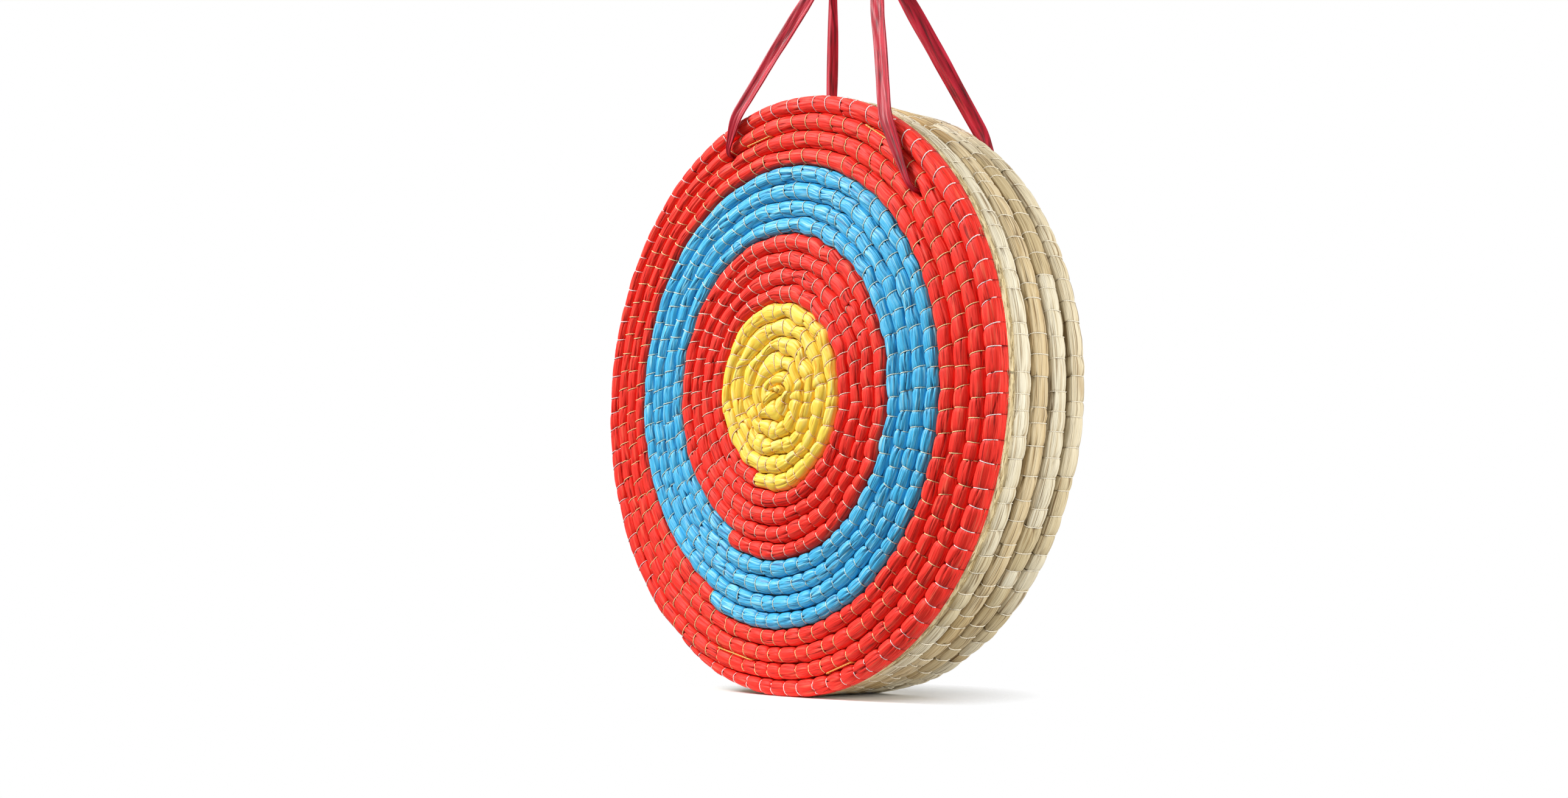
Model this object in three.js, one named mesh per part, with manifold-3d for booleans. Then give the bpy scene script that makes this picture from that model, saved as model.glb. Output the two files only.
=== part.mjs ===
// An archery target boss of coiled straw rope: five round layers sewn and tied together, the front one
// wrapped in coloured cloth, with two ribbon loops to hang it by.
// Millimetres, +Z up. The boss stands on its rim, its face towards -Y, and the origin is on the floor below
// its middle.
import * as THREE from "three";
import { mergeVertices } from "three/addons/utils/BufferGeometryUtils.js";
import Module from "manifold-3d";

const wasm = await Module();
wasm.setup();

// The boss
const bossDiameter = 500;
const layerDepth = 20;
const layerCount = 5;
const layerGap = 0.3; // clearance between two layers
const footDepth = 0.5; // how much the straw is pressed flat where the boss stands
const bossRadius = bossDiameter / 2;
const bossDepth = layerDepth * layerCount;
const frontY = -bossDepth / 2;
const centreHeight = bossRadius - footDepth;
const footHalfWidth = Math.sqrt(bossRadius ** 2 - centreHeight ** 2);

// The rope
const ropeWidth = 14.4; // of a row with its gap, from one row to the next
const rowGap = 0.5; // clearance between two rows
const wrapDepth = 12; // how far back the coloured cloth reaches
const backingInset = 1; // how far the bare straw behind the cloth lies inside the rim
const taperTurns = 0.1; // the rope's end thins over this much of a turn
const tipShare = 0.15; // of the row's width, where the thinned end stops
const heartTurns = 0.5; // the tight beginning in the middle
const heartRadius = 0.6;
const longestStep = 20; // degrees that one straight length of rope turns through
const tightTurns = 2; // the middle turns, which bend half as often
const gapPlaces = 4; // along each straight length of rope, where its gap to the next turn is measured

// The front layer's winding runs clockwise outwards, about a point beside the middle of the rim.
const windingLeftOffset = 9.4; // how far that point lies to the left
const windingUpOffset = 2.4; // and how far above
const faceStartAngle = 175.5; // where the rope leaves the middle, in degrees from +X towards +Z
const joinAngles = { from: 261.2, to: 237.7 }; // the straight stretch that holds the joins of two colours
const outerRedTurns = 4.04;
const blueTurns = 4;
const innerRedTurns = 4.02;
const outerRowCount = 4;
const joinTurnShare = 0.81; // of a turn past the start angle, where blue gives way to red
const joinGap = 0.3;

// The layers behind it: where each one's rope ends on the rim, in degrees
const ropeEndAngles = { second: 200, third: 152, fourth: 222, back: 170 };

// Sections of the rope, as shares of half its width and of half its depth
const wrapSectionShares = [
  [-1, 1],
  [-1, -0.1],
  [-0.5, -1],
  [0.5, -1],
  [1, -0.1],
  [1, 1],
];
const rimSectionShares = [
  [-1, 1],
  [-1, -1],
  [0.3, -1],
  [1, -0.4],
  [1, 0.4],
  [0.3, 1],
];
const backSectionShares = [
  [-1, -1],
  [1, -1],
  [0.5, 1],
  [-0.5, 1],
];

// The ribbon loops: each runs through a bore in the boss, up both sides and into a knot
const boreRadius = 6;
const boreSides = 12;
const boreRowIndex = 2; // the bores lie in the groove inside this row, counted from blue outwards
const boreAngles = { left: 106, right: 40 };
const hookOffset = 40.6; // the point that both loops are drawn towards, beside the middle
const hookRise = 188; // and over the rim
const knotRise = 125; // how high over the rim the knots begin
const ribbonThickness = 1.2;
const ribbonFold = 3; // how far the crease stands out of the ribbon's edges
const boreRibbonWidth = 6; // the ribbon's width where it is gathered in the bore
const shoulderRibbonWidth = 12; // where it leaves the rim
const strandRibbonWidth = 14; // along its free strands
const knotRibbonWidth = 7; // where it enters the knot
const ribbonClearance = 0.6; // between the ribbon and the face
const ribbonBendRadius = 4; // where it turns out of the bore
const ribbonBendSteps = 4;
const strandShares = [0.1, 0.3, 0.5, 0.7, 0.85, 0.95, 1]; // where a free strand bends, from rim to knot
const gatheredShare = 0.85; // from here on it is gathered for the knot
const knotRadius = 7.5;
const knotLength = 17;
const knotWaistShare = 0.8; // of the knot's radius, between its two turns
const knotCrestShares = [0.25, 0.75]; // of its length, where the turns are widest
const tailLength = 24;
const tailWidth = 9;
const tailSplay = 14; // degrees
const knotSides = 12;

// The ties: loops of cord that pass through all the layers, in grooves between two rows of the front
const cordRadius = 0.75;
const cordSides = 6;
const cordClearance = 0.4; // round a cord in its channel
const ties = {
  top_left_tie: { row: 2, from: 99.3, to: 91.3 },
  top_right_tie: { row: 3, from: 60.8, to: 49.6 },
  bottom_left_tie: { row: 2, from: 262.3, to: 250.8 },
  bottom_right_tie: { row: 3, from: 293.4, to: 286 },
};
const cordSink = 0.4; // how far a tie's outer run is pulled in below the crest of the rope

const overrun = 5; // how far a cutting tool stands out of what it cuts

const colours = {
  yellow: 0xffc93c,
  red: 0xf02a20,
  blue: 0x2fa6e8,
  straw: 0xd2a94f,
  paleHusk: 0xcfc39c,
  tanHusk: 0xc79a5e,
  backHusk: 0xd2c29a,
  cord: 0xe0b050,
  ribbon: 0xb8182f,
};

const radians = THREE.MathUtils.degToRad;
const turnOf = (degrees) => THREE.MathUtils.euclideanModulo(degrees, 360) / 360;
const v = (x, y, z) => new THREE.Vector3(x, y, z);

// Solids
function solidOf(geometry) {
  const bare = geometry.clone();
  bare.deleteAttribute("normal");
  bare.deleteAttribute("uv");
  const merged = mergeVertices(bare);
  return new wasm.Manifold(
    new wasm.Mesh({
      numProp: 3,
      vertProperties: merged.attributes.position.array,
      triVerts: new Uint32Array(merged.index.array),
    }),
  );
}

function geometryOf(solid) {
  const mesh = solid.getMesh();
  const geometry = new THREE.BufferGeometry();
  geometry.setAttribute("position", new THREE.BufferAttribute(mesh.vertProperties, 3));
  geometry.setIndex(new THREE.BufferAttribute(mesh.triVerts, 1));
  geometry.computeVertexNormals();
  return geometry;
}

// A closed skin over a row of rings with as many points each, open ended or joined into a loop
function skin(rings, looped = false) {
  const sides = rings[0].length;
  const index = [];
  const spans = looped ? rings.length : rings.length - 1;
  for (let i = 0; i < spans; i += 1) {
    const a = i * sides;
    const b = ((i + 1) % rings.length) * sides;
    for (let k = 0; k < sides; k += 1) {
      const next = (k + 1) % sides;
      index.push(a + k, b + k, b + next, a + k, b + next, a + next);
    }
  }
  if (!looped) {
    const last = (rings.length - 1) * sides;
    for (let k = 1; k < sides - 1; k += 1) {
      index.push(0, k, k + 1);
      index.push(last, last + k + 1, last + k);
    }
  }
  const geometry = new THREE.BufferGeometry().setFromPoints(rings.flat());
  geometry.setIndex(index);
  geometry.computeVertexNormals();
  return geometry;
}

// A flat plate between two depths, from an outline in X and Z and the outlines of its holes
function plate(outline, holes, fromY, toY) {
  const shape = new THREE.Shape(outline);
  shape.holes = holes.map((points) => new THREE.Path(points));
  const geometry = new THREE.ExtrudeGeometry(shape, { depth: toY - fromY, bevelEnabled: false });
  geometry.rotateX(Math.PI / 2);
  return geometry.translate(0, toY, 0);
}

// A coil: its rows' edges lie on a spiral of even pitch, and its last rows share out what is left up to the
// rim. A place along it is given in turns from where it leaves the middle.
function makeCoil(centre, startAngle, endTurns, joinShare) {
  const offset = Math.hypot(centre.x, centre.z);
  const evenRows = Math.round((bossRadius - offset) / ropeWidth - outerRowCount - joinShare);
  const evenTurns = evenRows + joinShare;
  const endTurn = evenTurns + endTurns;
  const angleAt = (turn) => radians(startAngle - 360 * turn);
  const angleOf = (x, z) => THREE.MathUtils.radToDeg(Math.atan2(z - centre.z, x - centre.x));

  function rimAt(angle) {
    const along = centre.x * Math.cos(angle) + centre.z * Math.sin(angle);
    return -along + Math.sqrt(along ** 2 + bossRadius ** 2 - offset ** 2);
  }

  // How much of a whole row's width the rope has, at this many turns past the even rows
  const widthShare = (past) => THREE.MathUtils.clamp((endTurns - past) / taperTurns, 0, 1);

  function edgeAt(turn) {
    const past = turn - evenTurns;
    if (past <= 0) return Math.max(ropeWidth * turn, 0);
    const row = Math.floor(past);
    const part = past - row;
    const inner = ropeWidth * (evenTurns + part);
    const rim = rimAt(angleAt(turn));
    let before = 0;
    let all = 0;
    for (let i = 0; i <= Math.ceil(endTurns); i += 1) {
      const share = widthShare(i + part);
      all += share;
      if (i < row) before += share;
    }
    return inner + ((rim - inner) * before) / all;
  }

  function wallsAt(turn) {
    const inner = Math.max(edgeAt(turn) + rowGap / 2, heartRadius);
    const rim = rimAt(angleAt(turn));
    const edge = edgeAt(turn + 1);
    const onRim = turn > endTurn - 1;
    return { inner, outer: onRim ? rim : edge - rowGap / 2 };
  }

  const at = (turn, radius, y) =>
    v(centre.x + radius * Math.cos(angleAt(turn)), y, centre.z + radius * Math.sin(angleAt(turn)));

  // The angles at which each turn bends, as shares of a turn past the start angle
  function bends(straight, straightSteps) {
    const marks = [
      angleOf(-footHalfWidth, -centreHeight),
      ...(straight ? [straight.from, straight.to] : []),
      angleOf(-bossRadius, 0),
      angleOf(bossRadius, 0),
      angleOf(footHalfWidth, -centreHeight),
    ];
    const found = [];
    marks.forEach((mark, i) => {
      const span = turnOf(mark - marks[(i + 1) % marks.length]) * 360;
      const onStraight = straight && mark === straight.from;
      const steps = onStraight ? straightSteps : Math.ceil(span / longestStep);
      for (let k = 0; k < steps; k += 1) found.push(turnOf(startAngle - mark + (span * k) / steps));
    });
    return found.sort((a, b) => a - b);
  }

  // The bends between two places, with the places themselves. In the middle the rope begins at its first
  // bend.
  function turnsBetween(from, to, shares) {
    const found = from < 0 ? [] : [from];
    for (let whole = Math.floor(from); whole <= to; whole += 1) {
      const kept = shares.filter((_, i) => whole >= tightTurns || i % 2 === 0);
      found.push(...kept.map((share) => whole + share).filter((turn) => turn > from && turn < to));
    }
    return [...found, to];
  }

  function ring(turn, section, fromY, toY) {
    const { inner, outer } = wallsAt(turn);
    const middle = (inner + outer) / 2;
    const halfWidth = (outer - inner) / 2;
    const middleY = (fromY + toY) / 2;
    const halfDepth = (toY - fromY) / 2;
    return section.map(([a, b]) => at(turn, middle + a * halfWidth, middleY + b * halfDepth));
  }

  // The place where the given row, counted from the even rows out, passes an angle in degrees
  function turnAtAngle(row, degrees) {
    return evenTurns + row + turnOf(startAngle - 360 * evenTurns - degrees);
  }
  return { startAngle, evenTurns, endTurn, at, edgeAt, wallsAt, bends, turnsBetween, ring, turnAtAngle };
}

const windingCentre = { x: -windingLeftOffset, z: windingUpOffset };
const face = makeCoil(windingCentre, faceStartAngle, outerRedTurns, joinTurnShare);
const rimCentre = { x: 0, z: 0 };
function plainCoil(endAngle) {
  const start = endAngle + 360 * (joinTurnShare + outerRedTurns);
  return makeCoil(rimCentre, start, outerRedTurns, joinTurnShare);
}

// A straight-ended stretch is trimmed square to its run, half a join's gap short of the turn given.
function trimmedEnd(rings, coil, turn, atStart) {
  const [end, before] = atStart ? [rings[0], rings[1]] : [rings.at(-1), rings.at(-2)];
  const walls = coil.wallsAt(turn);
  const place = coil.at(turn, (walls.inner + walls.outer) / 2, end[0].y);
  const run = end[0].clone().sub(before[0]).normalize();
  place.addScaledVector(run, -joinGap / 2);
  return end.map((point, k) => {
    const line = point.clone().sub(before[k]);
    const reach = place.clone().sub(before[k]).dot(run) / line.dot(run);
    return before[k].clone().addScaledVector(line, reach);
  });
}

// The rings of a length of rope from one turn to another. A join at either end lies in the straight stretch,
// which stays straight there, and elsewhere bends straightSteps times.
function ropeRings(coil, from, to, section, depths, { straight, straightSteps, joinStart, joinEnd } = {}) {
  const stretch = straight && [straight.from, straight.to].map((angle) => turnOf(coil.startAngle - angle));
  const straightAt = (turn) => stretch.map((share) => Math.floor(turn - stretch[0]) + share);
  const ends = [joinStart ? straightAt(from)[0] : from, joinEnd ? straightAt(to)[1] : to];
  const inJoin = (turn, end) => turn > straightAt(end)[0] && turn < straightAt(end)[1];
  const turns = coil
    .turnsBetween(...ends, coil.bends(straight, straightSteps))
    .filter((turn) => !(joinStart && inJoin(turn, from)) && !(joinEnd && inJoin(turn, to)));
  const rings = turns.map((turn) => coil.ring(turn, section, ...depths));
  const first = joinStart ? trimmedEnd(rings, coil, from, true) : rings[0];
  const last = joinEnd ? trimmedEnd(rings, coil, to, false) : rings.at(-1);
  return [first, ...rings.slice(1, -1), last];
}

// Prints the least distance between a length of rope's outer wall and the inner wall of its next turn, on
// points.
function reportGap(name, rings, section) {
  const near = (gapPlaces * 360) / longestStep / 2;
  const shoulder = Math.min(...section.filter(([across]) => across === 1).map(([, deep]) => deep));
  const wall = (side) => {
    const k = section.findIndex(([across, deep]) => across === side && deep === shoulder);
    const between = (from, to) =>
      Array.from({ length: gapPlaces }, (_, j) => from.clone().lerp(to, j / gapPlaces));
    return rings.slice(1).flatMap((ring, i) => between(rings[i][k], ring[k]));
  };
  const inner = wall(-1);
  let least = Infinity;
  wall(1).forEach((point, i) => {
    for (const other of inner.slice(Math.ceil(i + near))) least = Math.min(least, point.distanceTo(other));
  });
  console.log(name, "comes no nearer to itself than", least.toFixed(2), "mm");
}

const circle = (centre, radius, sides) =>
  Array.from({ length: sides }, (_, i) => {
    const angle = (2 * Math.PI * (i + 1 / 2)) / sides;
    return new THREE.Vector2(centre.x + radius * Math.cos(angle), centre.z + radius * Math.sin(angle));
  });

// A place in the groove inside a row of the front layer, at an angle round its middle
function groovePlace(row, degrees) {
  const turn = face.turnAtAngle(row, degrees);
  return face.at(turn, face.edgeAt(turn), 0);
}

const bores = Object.fromEntries(
  Object.entries(boreAngles).map(([side, degrees]) => [side, groovePlace(boreRowIndex, degrees)]),
);
const boreOutlines = Object.values(bores).map((bore) => circle(bore, boreRadius, boreSides));

// The places where the ties pass through the layers: in the front's grooves
const tiePlaces = Object.fromEntries(
  Object.entries(ties).map(([name, { row, from, to }]) => [
    name,
    [from, to].map((degrees) => groovePlace(row, degrees)),
  ]),
);

// A tie is one closed loop of cord, along the front, down one channel, along the back and up the other.
// A corner's ring lies in the plane that halves the corner.
function tieSkin([a, b], radius, sides) {
  const reach = -frontY - cordSink - cordRadius;
  const along = b.clone().sub(a).normalize();
  const side = v(0, 1, 0).cross(along);
  const corner = (place, ends, faces) => {
    const out = along.clone().multiplyScalar(ends).add(v(0, faces, 0)).normalize();
    return Array.from({ length: sides }, (_, k) => {
      const angle = (-2 * Math.PI * (k + 1 / 2)) / sides;
      return v(place.x, faces * reach, place.z)
        .addScaledVector(out, radius * Math.SQRT2 * Math.cos(angle))
        .addScaledVector(side, radius * Math.sin(angle));
    });
  };
  return skin([corner(a, -1, -1), corner(b, 1, -1), corner(b, 1, 1), corner(a, -1, 1)], true);
}
const channelRadius = (cordRadius + cordClearance) * Math.SQRT2;
const channelSides = 4;

// What is left of a layer's piece when the bores and the ties' channels are taken out of it
function drilled(geometry, fromY, toY) {
  let solid = solidOf(geometry);
  for (const outline of boreOutlines)
    solid = solid.subtract(solidOf(plate(outline, [], fromY - overrun, toY + overrun)));
  for (const places of Object.values(tiePlaces))
    solid = solid.subtract(solidOf(tieSkin(places, channelRadius, channelSides)));
  return geometryOf(solid);
}

const material = (color, roughness) => new THREE.MeshStandardMaterial({ color, roughness, metalness: 0 });
const clothRoughness = 0.8;
const strawRoughness = 0.7;
const satinRoughness = 0.4;

function named(name, geometry, color, roughness) {
  const mesh = new THREE.Mesh(geometry, material(color, roughness));
  mesh.name = name;
  return mesh;
}

const boss = new THREE.Group();

// The front layer's wrapped rope, in its four lengths of colour
const blueEnd = face.evenTurns;
const innerRedEnd = blueEnd - blueTurns;
const yellowEnd = innerRedEnd - innerRedTurns;
const ropeEnd = face.endTurn - taperTurns * tipShare;
const joinedTwice = { straightSteps: 1, joinStart: true, joinEnd: true };
const windings = [
  ["yellow_winding", -heartTurns, yellowEnd, { straightSteps: 1, joinEnd: true }, colours.yellow],
  ["inner_red_winding", yellowEnd, innerRedEnd, joinedTwice, colours.red],
  ["blue_winding", innerRedEnd, blueEnd, joinedTwice, colours.blue],
  ["outer_red_winding", blueEnd, ropeEnd, { straightSteps: 2, joinStart: true }, colours.red],
];
for (const [name, from, to, joins, colour] of windings) {
  const depths = [frontY, frontY + wrapDepth];
  const rings = ropeRings(face, from, to, wrapSectionShares, depths, { straight: joinAngles, ...joins });
  reportGap(name, rings, wrapSectionShares);
  const wound = skin(rings);
  const crossed = name === "outer_red_winding";
  boss.add(named(name, crossed ? drilled(wound, ...depths) : wound, colour, clothRoughness));
}

// A round plate of straw up to a radius, with its foot flat
function roundOutline(radius) {
  const foot = Math.acos(centreHeight / bossRadius);
  const sides = Math.ceil(360 / longestStep) * 2;
  return Array.from({ length: sides + 1 }, (_, i) => {
    const angle = foot - Math.PI / 2 + ((2 * Math.PI - 2 * foot) * i) / sides;
    return new THREE.Vector2(radius * Math.cos(angle), radius * Math.sin(angle));
  });
}

// The bare straw of the front rope, behind its cloth
const backingDepths = [frontY + wrapDepth + layerGap, frontY + layerDepth - layerGap / 2];
const backing = plate(roundOutline(bossRadius - backingInset), [], ...backingDepths);
boss.add(named("front_straw_backing", drilled(backing, ...backingDepths), colours.straw, strawRoughness));

// The depths of a layer of rope, counted from the front
const layerDepths = (index) => [
  frontY + layerDepth * index + layerGap / 2,
  frontY + layerDepth * (index + 1) - layerGap / 2,
];

// A middle layer: a plain disc of rope rows, its edge stepping out where the last turn begins, and then
// that last turn
function addMiddleLayer(name, index, colour) {
  const coil = plainCoil(ropeEndAngles[name]);
  const depths = layerDepths(index);
  const end = coil.endTurn - taperTurns * tipShare;
  const turns = coil.turnsBetween(coil.endTurn - 1, coil.endTurn, coil.bends());
  const core = turns.map((turn) => {
    const place = coil.at(turn, coil.edgeAt(turn) - rowGap / 2, 0);
    return new THREE.Vector2(place.x, place.z);
  });
  const disc = plate(core, [], ...depths);
  boss.add(named(name + "_layer_core", drilled(disc, ...depths), colour, strawRoughness));
  const start = coil.endTurn - 1 + joinGap / (2 * Math.PI * bossRadius);
  const rings = ropeRings(coil, start, end, rimSectionShares, depths);
  boss.add(named(name + "_layer_rim_rope", drilled(skin(rings), ...depths), colour, strawRoughness));
}
addMiddleLayer("second", 1, colours.paleHusk);
addMiddleLayer("third", 2, colours.tanHusk);
addMiddleLayer("fourth", 3, colours.paleHusk);

// The back layer is bare rope, wound all the way from its middle.
{
  const coil = plainCoil(ropeEndAngles.back);
  const depths = layerDepths(layerCount - 1);
  depths[1] = -frontY;
  const rings = ropeRings(coil, -heartTurns, coil.endTurn - taperTurns * tipShare, backSectionShares, depths);
  reportGap("back_coil", rings, backSectionShares);
  boss.add(named("back_coil", drilled(skin(rings), ...depths), colours.backHusk, strawRoughness));
}

for (const [name, places] of Object.entries(tiePlaces))
  boss.add(named(name, tieSkin(places, cordRadius, cordSides), colours.cord, clothRoughness));

// A ribbon: half of its path from the middle of the bore to the knot, as places along the loop's own line,
// depths, and widths, with the way its creased side faces
function ribbonHalf(bore, line, knotAt) {
  const flat = -frontY + ribbonClearance + ribbonFold / 2 + ribbonThickness;
  const rimAt = (side) => {
    const x = bore.x - line.z * side;
    const z = bore.z + line.x * side;
    const along = x * line.x + z * line.z;
    return Math.sqrt(along ** 2 + bossRadius ** 2 - x ** 2 - z ** 2) - along;
  };
  const half = strandRibbonWidth / 2;
  const shoulder = Math.max(rimAt(half), rimAt(-half)) + ribbonFold;
  const mouth = flat - ribbonBendRadius;
  const path = [
    { s: 0, y: 0, width: boreRibbonWidth },
    { s: 0, y: mouth - ribbonBendRadius, width: boreRibbonWidth },
  ];
  for (let i = 0; i <= ribbonBendSteps; i += 1) {
    const angle = (Math.PI / 2) * (i / ribbonBendSteps);
    path.push({
      s: ribbonBendRadius * (1 - Math.cos(angle)),
      y: mouth + ribbonBendRadius * Math.sin(angle),
      width: boreRibbonWidth,
    });
  }
  path.push({ s: shoulder - 2 * ribbonBendRadius, y: flat, width: shoulderRibbonWidth });
  path.push({ s: shoulder, y: flat, width: shoulderRibbonWidth });
  const endY = ribbonFold / 2 + ribbonThickness + layerGap;
  for (const share of strandShares)
    path.push({
      s: THREE.MathUtils.lerp(shoulder, knotAt - layerGap, share),
      y: THREE.MathUtils.lerp(flat, endY, share),
      width: share < gatheredShare ? strandRibbonWidth : knotRibbonWidth,
    });
  return path;
}

// The creased section of a ribbon, across it and out of it, as shares of half its width and of its fold
const ribbonSectionShares = [
  [-1, -0.5],
  [0, 0.5],
  [1, -0.5],
];

function ribbonRings(bore, line, path) {
  const place = ({ s, y }) => v(bore.x + line.x * s, y, bore.z + line.z * s);
  const across = v(line.z, 0, -line.x);
  return path.map((point, i) => {
    const before = place(path[Math.max(i - 1, 0)]);
    const after = place(path[Math.min(i + 1, path.length - 1)]);
    const out = after.sub(before).normalize().cross(across);
    const at = (a, b, deeper) =>
      place(point)
        .addScaledVector(across, (a * point.width) / 2)
        .addScaledVector(out, b * ribbonFold - deeper);
    const outside = ribbonSectionShares.map(([a, b]) => at(a, b, 0));
    const inside = ribbonSectionShares.map(([a, b]) => at(a, b, ribbonThickness)).reverse();
    return [...outside, ...inside];
  });
}

// A knot: two bulging turns on the loop's line, with the ribbon's two cut ends standing out of its top
function knotSolid(start, line) {
  const waist = knotRadius * knotWaistShare;
  const crests = knotCrestShares.map((share) => share * knotLength);
  const profile = [
    [0, 0],
    [knotRadius / 2, 0],
    [knotRadius, crests[0]],
    [waist, knotLength / 2],
    [knotRadius, crests[1]],
    [knotRadius / 2, knotLength],
    [0, knotLength],
  ].map(([radius, height]) => new THREE.Vector2(radius, height));
  let solid = solidOf(new THREE.LatheGeometry(profile, knotSides));
  for (const side of [-1, 1]) {
    const outline = [
      [-tailWidth / 3, 0],
      [tailWidth / 3, 0],
      [tailWidth / 2, tailLength],
      [0, tailLength - tailWidth / 2],
      [-tailWidth / 2, tailLength],
    ].map(([x, y]) => new THREE.Vector2(x, y));
    const tail = new THREE.ExtrudeGeometry(new THREE.Shape(outline), {
      depth: ribbonThickness,
      bevelEnabled: false,
    });
    tail.translate(0, 0, -ribbonThickness / 2);
    tail.rotateX(radians(side * tailSplay));
    tail.translate(0, knotLength - ribbonFold, side * ribbonThickness);
    solid = solid.add(solidOf(tail));
  }
  const geometry = geometryOf(solid);
  geometry.applyQuaternion(new THREE.Quaternion().setFromUnitVectors(v(0, 1, 0), v(line.x, 0, line.z)));
  return geometry.translate(start.x, 0, start.z);
}

const loops = new THREE.Group();
for (const [side, bore] of Object.entries(bores)) {
  const line = v(hookOffset - bore.x, 0, bossRadius + hookRise - bore.z).normalize();
  const knotAt = (bossRadius + knotRise - bore.z) / line.z;
  const half = ribbonHalf(bore, line, knotAt);
  const mirrored = half.slice(1).map((point) => ({ ...point, y: -point.y }));
  const path = [...mirrored.reverse(), ...half];
  const start = { x: bore.x + line.x * knotAt, z: bore.z + line.z * knotAt };
  loops.add(named(side + "_ribbon", skin(ribbonRings(bore, line, path)), colours.ribbon, satinRoughness));
  loops.add(named(side + "_knot", knotSolid(start, line), colours.ribbon, satinRoughness));
}

const target = new THREE.Group();
target.add(boss, loops);
target.position.z = centreHeight;
export default target;
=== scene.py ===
"""An archery target boss of coiled straw rope: the front layer wrapped in coloured cloth and stitched, the
layers behind it in corn husk, hung by two satin ribbon loops. Metres, +Z up, the face towards -Y."""

import bpy
import numpy as np
from mathutils import Matrix, Vector


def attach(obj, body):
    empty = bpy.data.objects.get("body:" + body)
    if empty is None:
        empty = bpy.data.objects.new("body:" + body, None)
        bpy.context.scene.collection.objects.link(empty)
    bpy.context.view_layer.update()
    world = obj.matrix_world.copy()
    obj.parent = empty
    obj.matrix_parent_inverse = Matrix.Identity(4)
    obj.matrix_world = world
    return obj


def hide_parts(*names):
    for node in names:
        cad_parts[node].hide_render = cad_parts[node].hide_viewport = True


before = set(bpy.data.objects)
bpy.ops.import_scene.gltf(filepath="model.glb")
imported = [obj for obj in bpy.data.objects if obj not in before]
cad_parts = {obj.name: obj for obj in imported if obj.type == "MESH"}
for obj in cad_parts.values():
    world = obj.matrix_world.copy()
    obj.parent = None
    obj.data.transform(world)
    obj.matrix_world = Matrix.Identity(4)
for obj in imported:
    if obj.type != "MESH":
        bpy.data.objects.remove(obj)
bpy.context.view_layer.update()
stage = bpy.context.scene

MM = 0.001
TAU = 2 * np.pi
SEED = 20
BODY = "boss"

# The camera, where the photograph was taken from
CAMERA_PLACE = (1.2131, -1.0606, 0.1001)
CAMERA_AZIMUTH = 50.06
CAMERA_ELEVATION = -5.26
LENS = 43.69
SENSOR = 36

# The boss, with the sizes of the solids
BOSS_RADIUS = 250 * MM
CENTRE_HEIGHT = 249.5 * MM
FRONT_Y = -50 * MM
WRAP_BACK_Y = -38 * MM
BACKING_BACK_Y = -30.15 * MM
LAYER_DEPTH = 20 * MM
LAYER_GAP = 0.3 * MM
BACK_Y = 50 * MM

# The rope
ROPE_WIDTH = 14.4 * MM
SKIN_GAP = 0.1 * MM
TAPER_TURNS = 0.1
TIP_TURNS = 0.015
TIP_SINK = 2.6 * MM
TIP_REACH = 0.07
TIP_FULL = 9 * MM  # the width from which on the rope is as deep as elsewhere
HEART_TURNS = 0.9  # how far inside its start a coil begins, curled up in the middle
HEART_RADIUS = 0.2 * MM
WINDING_CENTRE = complex(-9.4, 2.4) * MM  # places on the face are complex: X, and Z over the middle
FACE_START = 175.5
JOIN_TURNS = 0.81  # the part of a turn by which the even rows end past the start
OUTER_TURNS = 4.04  # the rest, up to the rim
OUTER_ROWS = 4
BLUE_TURNS = 4
INNER_RED_TURNS = 4.02
ROPE_ENDS = {"second": 200, "third": 152, "fourth": 222, "back": 170}  # degrees round the rim
BORES = {"left": complex(-69.343, 211.446) * MM, "right": complex(162.253, 146.434) * MM}
BORE_OPENING = 3.6 * MM
BORE_DIMPLE = 8 * MM
BORE_SINK = 2.6 * MM
TIES = {  # the row whose inner groove the ends lie in, and their two angles round it
    "top_left_tie": (2, 99.3, 91.3),
    "top_right_tie": (3, 60.8, 49.6),
    "bottom_left_tie": (2, 262.3, 250.8),
    "bottom_right_tie": (3, 293.4, 286),
}
TIE_OPENING = 0.9 * MM
TIE_DIMPLE = 3.5 * MM
TIE_SINK = 1.2 * MM
CORD_RADIUS = 0.65 * MM
STUB_ANGLE = 12  # degrees, how the rope's short straight beginning lies in the middle
STUB_REACH = 16 * MM
STUB_LONGER = 0.4
STUB_NARROWER = 0.25

# The stitches
THREAD_RADIUS = 0.42 * MM
THREAD_LIFT = 1.6  # of its radius, how far its middle stands over the skin
THREAD_SIDES = 5
STITCH_SAMPLES = 4000
CLOTH_JITTER = 0.14  # of a cell, how far a stitch lies from its even place
HUSK_JITTER = 0.3
THREAD_STEPS = 8
STITCH_SLANT = 14  # degrees, the outer end counterclockwise
SQUARE_AT = -50  # the angle round the face where the stitches lie square to the row
SQUARE_SLANT = 3
SLANT_SPREAD = 4
STITCH_HOOK = 0.15  # of half the row's width, how far the inner end of a stitch bends round

# Each is a middle colour, a dark one and a light one. On the cloths the dark one is painted shade in folds,
# wrinkles, creases and beside the stitches, and the light one is painted highlight on the raised streaks. On
# the straw the dark one is painted shade in the gaps between fibres and clumps. On the husks they are the
# husk's own tones.
COLOURS = {
    "yellow": ("FFDE4E", "FF9A10", "FFF6A4"),
    "red": ("F93226", "8A0606", "FF6A50"),
    "blue": ("3EBAEC", "08407E", "B8F8FF"),
    "straw": ("ECD49A", "8E6C3A", "FFF2CE"),
    "pale husk": ("EBE1C6", "9C8660", "FBF5E4"),
    "tan husk": ("E4CFA6", "926E40", "F8ECD0"),
    "back husk": ("E9DDC0", "98845C", "FAF3DF"),
}


# Meshes
def stacked(*parts):
    """Arrays that fit against each other, as the coordinates of points."""
    return np.stack(np.broadcast_arrays(*parts), axis=-1)


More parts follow.
